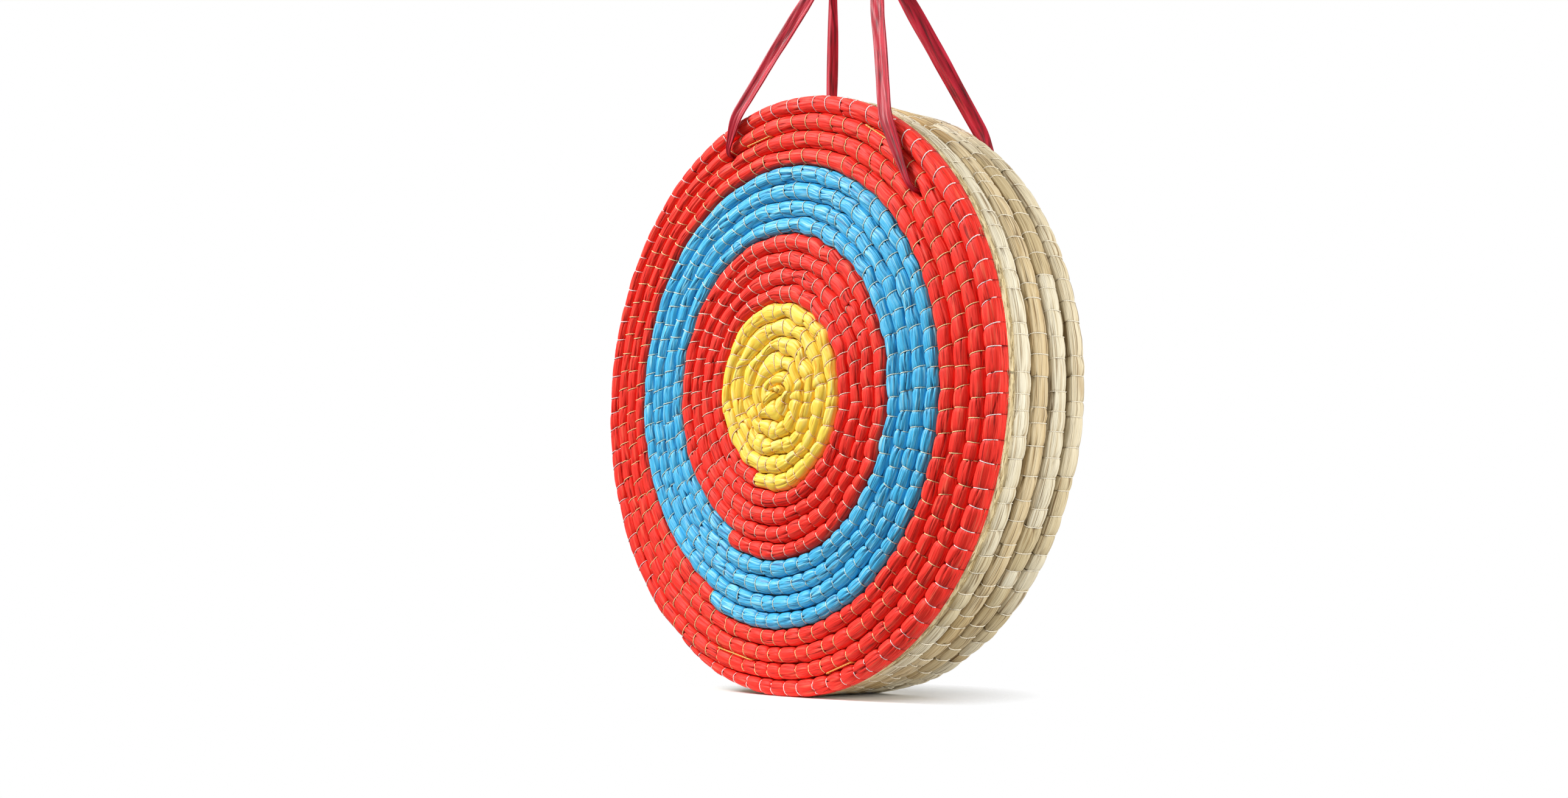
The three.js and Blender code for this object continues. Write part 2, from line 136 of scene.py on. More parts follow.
def on_face(place, y):
    """Points from places on the face, which are complex numbers, and depths."""
    return stacked(place.real, y, CENTRE_HEIGHT + place.imag)


def unit(vectors):
    """The vectors, each at length 1."""
    return vectors / np.maximum(np.linalg.norm(vectors, axis=-1, keepdims=True), 1e-9)


def running_length(line):
    """The length of a line through points, up to each of them."""
    return np.concatenate([[0], np.cumsum(np.linalg.norm(np.diff(line, axis=0), axis=1))])


def read_at(points, length, at):
    """What a line's points come to at other lengths along it."""
    return np.stack([np.interp(at, length, column) for column in points.T], axis=-1)


def put_mesh(name, points, faces, uv=None, values=None):
    """A mesh object from points, arrays of faces and named values of the points. Where its volume comes out
    negative, the faces turn round."""
    points = np.asarray(points, dtype=np.float64).reshape(-1, 3)
    volume = 0.0
    for each in faces:
        first = points[each[:, 0]]
        for k in range(1, each.shape[1] - 1):
            volume += np.einsum("ij,ij->", first, np.cross(points[each[:, k]], points[each[:, k + 1]]))
    if volume < 0:
        faces = [each[:, ::-1] for each in faces]
    corners = np.concatenate([each.ravel() for each in faces]).astype(np.int32)
    sizes = np.concatenate([np.full(len(each), each.shape[1]) for each in faces])
    starts = np.concatenate([[0], np.cumsum(sizes)[:-1]]).astype(np.int32)
    mesh = bpy.data.meshes.new(name)
    mesh.vertices.add(len(points))
    mesh.vertices.foreach_set("co", points.astype(np.float32).ravel())
    mesh.loops.add(len(corners))
    mesh.loops.foreach_set("vertex_index", corners)
    mesh.polygons.add(len(sizes))
    mesh.polygons.foreach_set("loop_start", starts)
    mesh.polygons.foreach_set("use_smooth", np.full(len(sizes), True))
    if uv is not None:
        layer = mesh.uv_layers.new(name="UVMap")
        layer.data.foreach_set("uv", np.asarray(uv, dtype=np.float32).reshape(-1, 2)[corners].ravel())
    for key, value in (values or {}).items():
        attribute = mesh.attributes.new(key, "FLOAT", "POINT")
        attribute.data.foreach_set("value", np.asarray(value, dtype=np.float32).ravel())
    mesh.update(calc_edges=True)
    made = bpy.data.objects.new(name, mesh)
    stage.collection.objects.link(made)
    return made


def grid_faces(rows, columns):
    """The four-sided faces of a grid of points whose columns close into a ring."""
    i = np.arange(rows - 1)[:, None]
    j = np.arange(columns)
    after = (j + 1) % columns
    corners = [i * columns + j, i * columns + after, (i + 1) * columns + after, (i + 1) * columns + j]
    return stacked(*corners).reshape(-1, 4)


def skin(name, rings, uv, values=None):
    """A closed skin over rings of points (rings, sides, 3): quads between rings, and a fan at each end."""
    rows, sides = rings.shape[:2]
    count = rows * sides
    last = count - sides
    j = np.arange(sides)
    after = (j + 1) % sides
    fans = [stacked(count, after, j), stacked(count + 1, last + j, last + after)]
    points = np.concatenate([rings.reshape(-1, 3), rings[[0, -1]].mean(axis=1)])
    uv = np.concatenate([uv.reshape(-1, 2), uv[[0, -1]].mean(axis=1)])
    values = {key: np.append(value, value[[0, -1], 0]) for key, value in (values or {}).items()}
    return put_mesh(name, points, [grid_faces(rows, sides), *fans], uv, values)


def tubes(name, paths, outward, radius, sides, taper=1.0):
    """Many thin closed tubes in one mesh. A tube's ring stands square to its path: the path's own direction
    crossed with the outward one gives the side, and the two carry a circle of so many sides."""
    count, steps = paths.shape[:2]
    run = unit(np.gradient(paths, axis=1))
    side = unit(np.cross(run, outward))
    up = np.cross(side, run)
    angle = TAU * np.arange(sides) / sides
    widths = np.broadcast_to(radius * taper, (count, steps))[..., None, None]
    circle = side[:, :, None] * np.cos(angle)[:, None] + up[:, :, None] * np.sin(angle)[:, None]
    points = paths[:, :, None] + circle * widths
    first = np.arange(count)[:, None, None] * steps * sides
    quads = (grid_faces(steps, sides) + first).reshape(-1, 4)
    ring = np.arange(sides)
    caps = np.concatenate([ring[::-1] + first[:, 0], ring + (steps - 1) * sides + first[:, 0]])
    length = np.cumsum(np.linalg.norm(np.diff(paths, axis=1, prepend=paths[:, :1]), axis=2), axis=1)
    return put_mesh(name, points, [quads, caps], stacked(length[:, :, None], radius * angle))


# The rope's spiral
class Coil:
    """A coil of rope: its rows' edges lie on a spiral of even pitch, and its last rows share out what is left
    up to the rim. A place along it is given in turns from where it leaves the middle, clockwise outwards as
    seen from the front."""

    def __init__(self, centre, start_angle):
        self.centre = centre
        self.start_angle = start_angle
        self.offset = abs(centre)
        rows = round((BOSS_RADIUS - self.offset) / ROPE_WIDTH - OUTER_ROWS - JOIN_TURNS)
        self.even_turns = rows + JOIN_TURNS
        self.end_turn = self.even_turns + OUTER_TURNS

    def angle(self, turn):
        return np.radians(self.start_angle - 360 * turn)

    def rim(self, angle):
        """The distance from the coil's middle to the rim, which is round about a point beside it."""
        along = self.centre.real * np.cos(angle) + self.centre.imag * np.sin(angle)
        return -along + np.sqrt(along**2 + BOSS_RADIUS**2 - self.offset**2)

    def edge(self, turn):
        """The radius of the groove inside a place: pitch times turns, then the shared rows."""
        past = np.maximum(turn - self.even_turns, 0)
        row = np.floor(past)
        part = past - row
        inner = ROPE_WIDTH * (self.even_turns + part)
        rows = np.arange(int(np.ceil(OUTER_TURNS)) + 1).reshape(-1, *[1] * np.ndim(turn))
        shares = np.clip((OUTER_TURNS - rows - part) / TAPER_TURNS, 0, 1)
        before = (shares * (rows < row)).sum(axis=0) / shares.sum(axis=0)
        shared = inner + (self.rim(self.angle(turn)) - inner) * before
        return np.where(turn <= self.even_turns, np.maximum(ROPE_WIDTH * turn, 0), shared)

    def walls(self, turn):
        inner = np.maximum(self.edge(turn) + SKIN_GAP / 2, HEART_RADIUS)
        on_rim = turn > self.end_turn - 1
        outer = np.where(on_rim, self.rim(self.angle(turn)), self.edge(turn + 1) - SKIN_GAP / 2)
        sunk = TIP_SINK * np.clip(1 - (self.end_turn - turn) / TIP_REACH, 0, 1) ** 2
        return inner, np.maximum(outer - sunk, inner + SKIN_GAP)

    def place(self, turn, radius):
        return self.centre + radius * np.exp(1j * self.angle(turn))

    def stitches(self, start, end, spacing, jitter, rng):
        """The turns of the stitches between two places: spaced by a length of rope that varies at random."""
        turn = np.linspace(start, end, STITCH_SAMPLES)
        inner, outer = self.walls(turn)
        step = np.pi * (inner + outer)
        length = np.concatenate([[0], np.cumsum((step[1:] + step[:-1]) / 2 * np.diff(turn))])
        wanted = np.interp(turn, *spacing) if isinstance(spacing, tuple) else np.full(len(turn), spacing)
        count = np.concatenate([[0], np.cumsum((1 / wanted)[1:] * np.diff(length))])
        cells = max(int(round(count[-1])), 1)
        marks = np.linspace(0, count[-1], cells + 1)
        marks[1:-1] += rng.uniform(-jitter, jitter, cells - 1)
        return np.interp(marks, count, turn)


face = Coil(WINDING_CENTRE, FACE_START)


def plain_coil(end_angle):
    return Coil(0, end_angle + 360 * (JOIN_TURNS + OUTER_TURNS))


# The rope's skin
CELL_SHARES = np.array([0, 0.03, 0.085, 0.22, 0.5, 0.78, 0.915, 0.97])
SHOULDER = 0.1  # of half the cloth's depth, how far its shoulders lie behind the middle
CLOTH_POWER = 2.1  # of the superellipse
CLOTH_BACK = [(1, 0.35, 0.6), (1, 1, 0), (0, 1, 0), (-1, 1, 0), (-1, 0.35, 0.6)]
WAVER_COUNTS = (4, 9, 17)
INNER_PINCH = 0.8  # how much deeper the stitches cut in at a row's inner side
PINCH_SPREAD = (0.75, 1.25)
LEAN_RADIUS = 22 * MM  # nearer to the middle, a stitch leans no further round
HOOK_POWER = 4
LAP_PLACES = (0.3, 0.7)  # these are of the way round the section
LAP_DRIFT = 0.04
LAP_EDGE = 0.006
LAP_REACH = 0.3
LAP_FADE = 6 * LAP_EDGE
CREASE_DRIFT = 0.05
CREASE_POWER = 1.2  # makes most creases shallow
CREASE_SHARPNESS = 1.3
CREASE_CHANGE = 0.4  # how much of a crease's depth changes along its cell
STITCH_SHADE_POWER = 24


def cloth_section(points):
    """Half a superellipse over the front from shoulder to shoulder, then square corners behind it. Each point
    has its place across and in depth, and its share of the dents."""
    angle = np.linspace(-np.pi / 2, np.pi / 2, points)
    power = 2 / CLOTH_POWER
    across = np.sign(np.sin(angle)) * np.abs(np.sin(angle)) ** power
    deep = SHOULDER - (1 + SHOULDER) * np.abs(np.cos(angle)) ** power
    return np.concatenate([stacked(across, deep, 1), CLOTH_BACK])


def husk_section(points, power):
    """A superellipse all round, from the inner side on: a rope pressed against its neighbours."""
    angle = np.pi + TAU * np.arange(points) / points
    across = np.sign(np.cos(angle)) * np.abs(np.cos(angle)) ** (2 / power)
    deep = np.sign(np.sin(angle)) * np.abs(np.sin(angle)) ** (2 / power)
    return stacked(across, deep, 1)


class Rope:
    """A length of stitched rope. Its rings are as slanted as its stitches, with a hook at the inner end, and
    each point is drawn in towards the middle of its section by the dent there. The dent is a sum of the
    stitch's pinch, a low crown along the cell and lengthwise creases, less the bulge of the cell and of its
    leaf, what fills the heart, and the lap of one leaf of husk over the next. The last end thins to a tip."""

    def __init__(self, coil, stitches, section, depths, look, rng):
        self.coil = coil
        self.section = section
        self.middle_y = sum(depths) / 2
        self.half_depth = (depths[1] - depths[0]) / 2
        self.look = look
        self.turns = stitches
        cells = len(stitches) - 1
        self.bulge = rng.uniform(-1, 1, cells) * look["uneven"]
        each = (cells, look["creases"])
        self.creases = [
            rng.uniform(0, 1, each),
            rng.normal(0, CREASE_DRIFT, each),
            rng.uniform(*look["crease_width"], each),
            look["crease_depth"] * rng.uniform(0, 1, each) ** CREASE_POWER,
            rng.uniform(-1, 1, each),
        ]
        self.pinch = look["pinch"] * rng.uniform(*PINCH_SPREAD, cells + 1)
        leaf = np.cumsum(rng.uniform(0, 1, cells) < look["new_leaf"])

        def by_leaf(draw, *values):
            return draw(*values, leaf[-1] + 1)[leaf]

        self.tones = by_leaf(rng.uniform, 0, 1)
        self.leaf_bulge = look["leaf_uneven"] * by_leaf(rng.uniform, -1, 1)
        self.shift = by_leaf(rng.uniform, 0, 1)
        self.lap_at = by_leaf(rng.uniform, *LAP_PLACES)
        self.lap_drift = by_leaf(rng.normal, 0, LAP_DRIFT)
        self.spread = np.tan(np.radians(rng.normal(0, SLANT_SPREAD, cells + 1)))
        self.waver = rng.uniform(0, TAU, (3, len(WAVER_COUNTS)))

    def wavering(self, which, turn):
        """From 0 to a highest share round the rim: the mean of three sines, with some waves a turn each."""
        waves = [np.sin(n * self.coil.angle(turn) + at) for n, at in zip(WAVER_COUNTS, self.waver[which])]
        return self.look["waver"] * (0.5 + 0.5 * sum(waves) / len(waves))

    def near_square(self, turn):
        """1 where the stitches lie square to the row, and 0 on the far half: a cosine squared."""
        return np.maximum(np.cos(self.coil.angle(turn) - np.radians(SQUARE_AT)), 0) ** 2

    def slanted(self, turn, across, cell, share):
        """The turns of a slanted ring's points: the slant's tangent and a hook at the inner end, to the
        fourth power of the place across, both times half the row's width."""
        inner, outer = self.coil.walls(turn)
        half = ((outer - inner) / 2)[:, None]
        middle = np.maximum((outer + inner) / 2, LEAN_RADIUS)[:, None]
        slant = self.look["slant"] * (1 - self.near_square(turn) * (1 - SQUARE_SLANT / STITCH_SLANT))
        spread = self.spread[cell] + (self.spread[cell + 1] - self.spread[cell]) * share
        lean = (np.tan(np.radians(slant)) + spread)[:, None] * across
        lean = lean - self.look["hook"] * np.maximum(-across, 0) ** HOOK_POWER
        return turn[:, None] - lean * half / (TAU * middle)

    def bulging(self, turn, cell, share, across):
        """The pinch of the stitches, the distance from the cell's middle to a high power, and the crown, its
        square, less the bulges. Both are fuller where the stitches lie square."""
        end = np.abs(2 * share - 1)[:, None]
        fuller = 1 + self.look["fuller"] * self.near_square(turn)
        pinch = np.where(share < 0.5, self.pinch[cell], self.pinch[cell + 1])
        pinch = pinch[:, None] * fuller * (1 + INNER_PINCH * np.maximum(-across, 0) ** 2)
        heart = self.look["heart_fill"] * np.exp(-((np.maximum(turn + HEART_TURNS, 0) / HEART_TURNS) ** 2))
        crown = self.look["crown"] * fuller * end**2 - self.bulge[cell][:, None] * (1 - end**2)
        return pinch * end ** self.look["pinch_power"] + crown - heart - self.leaf_bulge[cell][:, None]

    def folds(self, cell, share, round_it):
        """The creases: each an exponential of the distance from a line that drifts along the cell, less deep
        between the stitches where the cloth or husk is gathered by them."""
        way = (2 * share - 1)[:, None]
        even = 1 - self.look["gathers"] * (1 - np.abs(way))
        total = 0
        for at, drift, width, depth, lean in zip(*(each[cell].T[..., None] for each in self.creases)):
            away = (round_it - (at + drift * way) + 0.5) % 1 - 0.5
            sharp = np.exp(-(np.abs(away / width) ** CREASE_SHARPNESS))
            total = total + depth * (1 - CREASE_CHANGE + CREASE_CHANGE * lean * way) * even * sharp
        return total

    def lapped(self, cell, share, round_it):
        """How far a leaf laps over the next: a steep logistic curve, which falls off further on."""
        lap = round_it - (self.lap_at[cell] + self.lap_drift[cell] * (2 * share - 1))[:, None]
        return 1 / (1 + np.exp(-lap / LAP_EDGE)) / (1 + np.exp((lap - LAP_REACH) / LAP_FADE))

    def points(self, turn, cell, share, lift=0.0, columns=slice(None)):
        """Points for arrays of turns, cell numbers and shares along the cell, and the share of painted shade
        there, from 0 to 1, by the creases' depth and beside the stitches. Lift is how far over the skin."""
        across, deep, weight = self.section[columns].T
        round_it = (np.arange(len(self.section)) / len(self.section))[columns]
        turn = self.slanted(turn, across, cell, share)
        inner, outer = self.coil.walls(turn)
        half = (outer - inner) / 2
        ending = turn > self.coil.end_turn - 2 * TAPER_TURNS
        thin = np.where(ending & (deep < 0), np.minimum(2 * half / TIP_FULL, 1), 1)
        out = across * half
        back = deep * self.half_depth * thin
        folds = self.folds(cell, share, round_it)
        dent = self.bulging(turn, cell, share, across) + folds
        dent = dent - self.look["laps"] * self.lapped(cell, share, round_it)
        factor = 1 - weight * (dent - lift) / np.hypot(out, back)
        narrower = np.where(deep < 0, self.wavering(0, turn), self.wavering(1, turn))
        y = self.middle_y + back * factor * (1 - narrower)
        out = out - np.maximum(across, 0) * half * self.wavering(2, turn)
        # painted shade beside the stitches, added to the creases' depth; the materials darken the colour by
        # it
        shade = self.look["stitch_shade"] * np.abs(2 * share - 1) ** STITCH_SHADE_POWER
        painted_shade_share = np.clip(folds / self.look["crease_depth"] + shade[:, None], 0, 1)
        return on_face(self.coil.place(turn, (outer + inner) / 2 + out * factor), y), painted_shade_share

    def skin(self, name):
        cells = len(self.turns) - 1
        cell = np.append(np.repeat(np.arange(cells), len(CELL_SHARES)), cells - 1)
        share = np.append(np.tile(CELL_SHARES, cells), 1.0)
        turn = self.turns[cell] + share * (self.turns[cell + 1] - self.turns[cell])
        points, painted_shade_share = self.points(turn, cell, share)
        points = settled(points)
        step = np.linalg.norm(np.diff(points, axis=0, prepend=points[:1]), axis=2).mean(axis=1)
        width = np.linalg.norm(np.diff(points[0], axis=0, append=points[0][:1]), axis=1)
        along = (np.cumsum(step) + self.shift[cell])[:, None]
        tone = self.tones[cell][:, None] * np.ones(len(width))
        return skin(name, points, stacked(along, np.cumsum(width)), {"tone": tone, "fold": painted_shade_share})

    def threads(self, name, chosen, columns):
        """A thread over each chosen stitch, along the skin's own section and a little over it."""
        cell = np.minimum(chosen, len(self.turns) - 2)
        share = (chosen - cell).astype(float)
        turn = self.turns[chosen]
        lift = THREAD_RADIUS * THREAD_LIFT
        paths = settled(self.points(turn, cell, share, lift, columns)[0])
        over = settled(self.points(turn, cell, share, lift + MM, columns)[0])
        return tubes(name, paths, unit(over - paths), THREAD_RADIUS, THREAD_SIDES)


# How the rope has settled
WAVE_COUNT = 9
WAVE_LENGTHS = (20, 75)  # millimetres
WANDER = 0.35 * MM  # of each wave, less near the rim
WANDER_FADE = 1.6
HEART_WANDER = 0.75 * MM  # and this much more in the middle
HEART_REACH = 75 * MM
MOUTH_Y = 36 * MM  # from here outwards the holes' mouths are sunk
chance = np.random.default_rng(SEED)
WAVES = [  # each wave's heading, length and two phases
    (chance.uniform(0, TAU), chance.uniform(*WAVE_LENGTHS) * MM, chance.uniform(0, TAU, 2))
    for _ in range(WAVE_COUNT)
]


def groove_place(row, degrees):
    """The place in the groove inside a row of the front, counted from blue outwards, at an angle round it."""
    turn = face.even_turns + row + ((face.start_angle - 360 * face.even_turns - degrees) % 360) / 360
    return face.place(turn, face.edge(turn))


TIE_ENDS = {name: [groove_place(row, at) for at in ends] for name, (row, *ends) in TIES.items()}
HOLES = [(place, BORE_OPENING, BORE_DIMPLE, BORE_SINK) for place in BORES.values()]
HOLES += [(place, TIE_OPENING, TIE_DIMPLE, TIE_SINK) for ends in TIE_ENDS.values() for place in ends]


def settled(points):
    """Moves points as the real rope has settled. The middle is drawn out along its straight stub by a bell
    curve of the distance from it. All wander in X and Z by a sum of waves, less towards the rim. They draw
    back from the bores and the ties' holes, whose mouths are sunk. The foot is pressed flat where it would
    reach through the floor."""
    x, y, z = np.moveaxis(points, -1, 0)
    place = x + 1j * (z - CENTRE_HEIGHT)
    stub = np.exp(1j * np.radians(STUB_ANGLE))
    bell = np.exp(-(np.abs(place - WINDING_CENTRE) ** 2) / STUB_REACH**2) * (y < 0)
    turned = (place - WINDING_CENTRE) / stub * bell
    place = place + (turned.real * STUB_LONGER - 1j * turned.imag * STUB_NARROWER) * stub
    radius = np.abs(place - WINDING_CENTRE)
    size = WANDER * np.clip((BOSS_RADIUS - radius) / BOSS_RADIUS * WANDER_FADE, 0, 1) ** 0.5
    size = size + HEART_WANDER * np.clip(1 - radius / HEART_REACH, 0, 1)
    move = 0
    for heading, length, phases in WAVES:
        wave = TAU * (place * np.exp(-1j * heading)).real / length
        move = move + np.sin(wave + phases[0]) + 1j * np.sin(wave + phases[1])
    place = place + size * move
    for hole, opening, dimple, sink in HOLES:
        away = np.maximum(np.abs(place - hole), 1e-6)
        place = hole + (place - hole) * (away**4 + opening**4) ** 0.25 / away
        y = y - np.sign(y) * sink * np.exp(-((away / dimple) ** 2)) * (np.abs(y) > MOUTH_Y)
    return stacked(place.real, y, np.maximum(CENTRE_HEIGHT + place.imag, 0))


# Nodes and colours
def linear(code):
    """A colour written as sRGB hex, turned to the linear values that the shaders take."""
    parts = np.array([int(code[i : i + 2], 16) / 255 for i in (0, 2, 4)])
    low = parts / 12.92
    high = ((parts + 0.055) / 1.055) ** 2.4
    return (*np.where(parts <= 0.04045, low, high), 1.0)


def add(tree, kind, sockets=None, **settings):
    """Adds a node with its settings. A socket's value is a number, a hex colour, or another node's output."""
    made = tree.nodes.new("ShaderNode" + kind)
    for name, value in settings.items():
        setattr(made, name, value)
    for name, value in (sockets or {}).items():
        if isinstance(value, bpy.types.NodeSocket):
            tree.links.new(value, made.inputs[name])
        else:
            made.inputs[name].default_value = linear(value) if isinstance(value, str) else value
    return made


def new_material(name, roughness, where="UV", **sockets):
    """A material with its Principled shader's sockets set, its node tree, and the place on the surface."""
    made = bpy.data.materials.new(name)
    made.use_nodes = True
    tree = made.node_tree
    for socket, value in {"Roughness": roughness, **sockets}.items():
        tree.nodes["Principled BSDF"].inputs[socket.replace("_", " ")].default_value = value
    return made, tree, add(tree, "TexCoord").outputs[where]


def streaks(tree, where, along, across, detail=3, distortion=0.0):
    """Noise drawn out along the rope: its features are so many millimetres long and wide."""
    scale = (1 / (along * MM), 1 / (across * MM), 1 / (across * MM))
    placed = add(tree, "Mapping", {"Vector": where, "Scale": scale})
    sockets = {"Vector": placed.outputs[0], "Scale": 1.0, "Detail": detail, "Distortion": distortion}
    return add(tree, "TexNoise", sockets).outputs[0]


def ramp(tree, value, stops):
    """A colour ramp with stops of place and hex colour."""
    made = add(tree, "ValToRGB", {"Fac": value})
    elements = made.color_ramp.elements
    while len(elements) < len(stops):
        elements.new(0.5)
    for element, (place, code) in zip(elements, stops):
        element.position = place
        element.color = linear(code)
    return made.outputs[0]


def rise(tree, value, low, high, top=1.0, bottom=0.0):
    """Goes straight from the bottom value at low to the top value at high, and is level beyond them."""
    sockets = {"Value": value, "From Min": low, "From Max": high, "To Min": bottom, "To Max": top}
    return add(tree, "MapRange", sockets).outputs[0]


def mix(tree, share, first, second, blend="MIX"):
    made = add(tree, "Mix", {0: share, 6: first, 7: second}, data_type="RGBA", blend_type=blend)
    return made.outputs[2]


def combined(tree, operation, first, second):
    return add(tree, "Math", {0: first, 1: second}, operation=operation).outputs[0]


def shaded(made, colour, bumps):
    """Gives a material its colour and its bumps, each a height and its depth in millimetres."""
    tree = made.node_tree
    shader = tree.nodes["Principled BSDF"]
    tree.links.new(colour, shader.inputs["Base Color"])
    over = {}
    for height, distance in bumps:
        over = {"Normal": add(tree, "Bump", {"Height": height, "Distance": distance * MM, **over}).outputs[0]}
    tree.links.new(over["Normal"], shader.inputs["Normal"])
    return made


def wrapping_cloth(name, folds, roughness, gloss):
    """Polyester wrapping cloth, plain woven and brushed soft: an even strong colour, with painted highlight
    on its raised streaks and painted shade in the folds along the rope, in wrinkles, creases and at stitches."""
    middle, dark, light = COLOURS[name]
    nap = {"Sheen_Weight": 0.05, "Sheen_Roughness": 0.35, "Sheen_Tint": linear(light)}
    made, tree, uv = new_material(name + " wrapping cloth", roughness, Specular_IOR_Level=gloss, **nap)
    broad = streaks(tree, uv, 34, 2.6, 1)
    fine = streaks(tree, uv, 16, 0.5, 2)
    # painted shade where the streaks' bumps are low, painted highlight where they are high
    stops = [(0.12 + 0.16 * folds, dark), (0.26 + 0.13 * folds, middle), (0.56, middle), (0.72, light)]
    painted_fine_streaks = ramp(tree, fine, [(0.34, dark), (0.46, middle), (0.56, middle), (0.7, light)])
    colour = mix(tree, 0.38, ramp(tree, broad, stops), painted_fine_streaks)
    wrinkles = streaks(tree, uv, 24, 1.3, 1)
    patches = streaks(tree, uv, 26, 8, 1)
    gathered = rise(tree, patches, 0.46, 0.62, 0.8)
    # painted shade in the wrinkles, which are also bumps
    wrinkles_and_painted_shade = combined(tree, "MULTIPLY", rise(tree, wrinkles, 0.42, 0.3), gathered)
    colour = mix(tree, wrinkles_and_painted_shade, colour, dark)
    # painted shade in the creases and beside the stitches
    fold = add(tree, "Attribute", attribute_name="fold").outputs["Fac"]
    colour = mix(tree, rise(tree, fold, 0.1, 0.7, 0.92), colour, dark)
    weave = add(tree, "TexNoise", {"Vector": uv, "Scale": 2200.0, "Detail": 1.0}).outputs[0]
    sunken = combined(tree, "SUBTRACT", 1.0, wrinkles_and_painted_shade)
    bumps = [(broad, 1.5 * folds), (sunken, 0.5), (fine, 0.14), (weave, 0.03)]
    return shaded(made, colour, bumps)


def corn_husk(name, kind, where="UV"):
    """Dried corn husk, split and wrapped wet: long parallel veins under 1 mm apart, each leaf its own shade
    from pale cream to tan, dry and slightly glossy."""
    middle, dark, light = COLOURS[kind]
    made, tree, uv = new_material(name, 0.58, where, Specular_IOR_Level=0.35)
    veins = streaks(tree, uv, 40, 0.75, 5)
    leaf = streaks(tree, uv, 50, 3.5, 3)
    colour = ramp(tree, veins, [(0.34, dark), (0.44, middle), (0.55, middle), (0.64, light)])
    colour = mix(tree, 0.42, colour, ramp(tree, leaf, [(0.34, "A8844E"), (0.44, middle), (0.6, light)]))
    lines = streaks(tree, uv, 60, 1.6, 1, 0.4)
    colour = mix(tree, rise(tree, lines, 0.42, 0.32, 0.8), colour, "7A5E36")
    tone = add(tree, "Attribute", attribute_name="tone").outputs["Fac"]
    leaf_tone = ramp(tree, tone, [(0.0, "C8B084"), (0.22, "E6D8B8"), (0.55, "F8F3E7"), (1.0, "FFFDF6")])
    colour = mix(tree, 0.9, colour, leaf_tone, "MULTIPLY")
    # painted shade in the creases and beside the stitches
    fold = add(tree, "Attribute", attribute_name="fold").outputs["Fac"]
    colour = mix(tree, rise(tree, fold, 0.15, 0.8, 0.75), colour, "755A34")
    return shaded(made, colour, [(leaf, 1.6), (veins, 0.6)])


def twisted_thread(name, code, shade):
    """Two-ply sewing twine: slanting plies at about 1.5 mm, with painted shade in the grooves between them.
    """
    made, tree, uv = new_material(name, 0.55, Sheen_Weight=0.15)
    turned = add(tree, "Mapping", {"Vector": uv, "Rotation": (0, 0, 0.6)})
    plies = add(tree, "TexWave", {"Vector": turned.outputs[0], "Scale": 210.0, "Distortion": 0.4})
    plies = plies.outputs["Fac"]
    # painted shade between the plies
    colour = ramp(tree, plies, [(0.0, shade), (0.14, code), (1.0, code)])
    return shaded(made, colour, [(plies, 0.06)])


def satin(name, code, shade, light):
    """Polyester satin ribbon: floats of yarn along it give a soft gloss in lines. Painted shade lies deep in
    its folds and painted highlight where they rise.
    """
    made, tree, uv = new_material(name, 0.46, Specular_IOR_Level=0.3)
    lines = streaks(tree, uv, 22, 0.5, 2)
    folds = streaks(tree, uv, 30, 3, 2)
    # painted shade low in the folds and painted highlight high on them
    colour = ramp(tree, folds, [(0.3, shade), (0.5, code), (0.78, light)])
    return shaded(made, colour, [(folds, 0.5), (lines, 0.06)])


def loose_straw(name):
    """Raw cut straw: split golden fibres side by side, with painted shade in the gaps between them."""
    middle, dark, light = COLOURS["straw"]
    made, tree, uv = new_material(name, 0.6)
    fibres = streaks(tree, uv, 26, 0.55, 4, 0.3)
    clumps = streaks(tree, uv, 30, 3, 2)
    # painted shade in the gaps between the fibres and the clumps
    colour = ramp(tree, fibres, [(0.3, dark), (0.45, middle), (0.62, light), (0.85, "F6EBCB")])
    colour = mix(tree, 0.3, colour, ramp(tree, clumps, [(0.3, dark), (0.55, middle), (0.8, light)]))
    return shaded(made, colour, [(clumps, 1.2), (fibres, 0.6)])


# Each: the twine's material name, its colour and the painted shade between its plies
CORDS = {
    "white thread": ("bleached cotton twine", "FFF4F0", "DDB4AC"),
    "golden thread": ("golden cotton twine", "FFE9A6", "D09A54"),
    "cream thread": ("cream cotton twine", "FFEFD8", "CFA590"),
    "pale thread": ("pale cotton twine", "F0F4DC", "9CB4B0"),
    "rose thread": ("pale rose twine", "FFE2C4", "D8A878"),
    "brown thread": ("raw hemp twine", "FAF2DC", "B8A47A"),
    "gold cord": ("gold polyester cord", "F2AE40", "B06E20"),
}
materials = {
    "yellow cloth": wrapping_cloth("yellow", 0.55, 0.45, 0.3),
    "red cloth": wrapping_cloth("red", 0.7, 0.52, 0.18),
    "blue cloth": wrapping_cloth("blue", 0.95, 0.42, 0.35),
    "bare straw": loose_straw("cut straw"),
    "pale husk": corn_husk("pale corn husk", "pale husk"),
    "tan husk": corn_husk("tan corn husk", "tan husk"),
    "back husk": corn_husk("weathered corn husk", "back husk"),
    "hidden husk": corn_husk("packed corn husk", "pale husk", "Object"),
    "satin ribbon": satin("crimson satin ribbon", "AE0824", "5C0310", "D0223E"),
}
materials |= {key: twisted_thread(*twine) for key, twine in CORDS.items()}


def finish(made, material, body=BODY, replaced=()):
    """Gives a piece its material and the slot of the same name, and lets it ride on its body."""
    made.data.materials.clear()
    made.data.materials.append(materials[material])
    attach(made, body)
    if replaced:
        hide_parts(*replaced)
    return made


# The camera, the floor and the lights
def direction(azimuth, elevation):
    """The unit vector from the object towards an azimuth (0 is straight in front) and an elevation."""
    a, e = np.radians([azimuth, elevation])
    return np.array([np.sin(a) * np.cos(e), -np.cos(a) * np.cos(e), np.sin(e)])


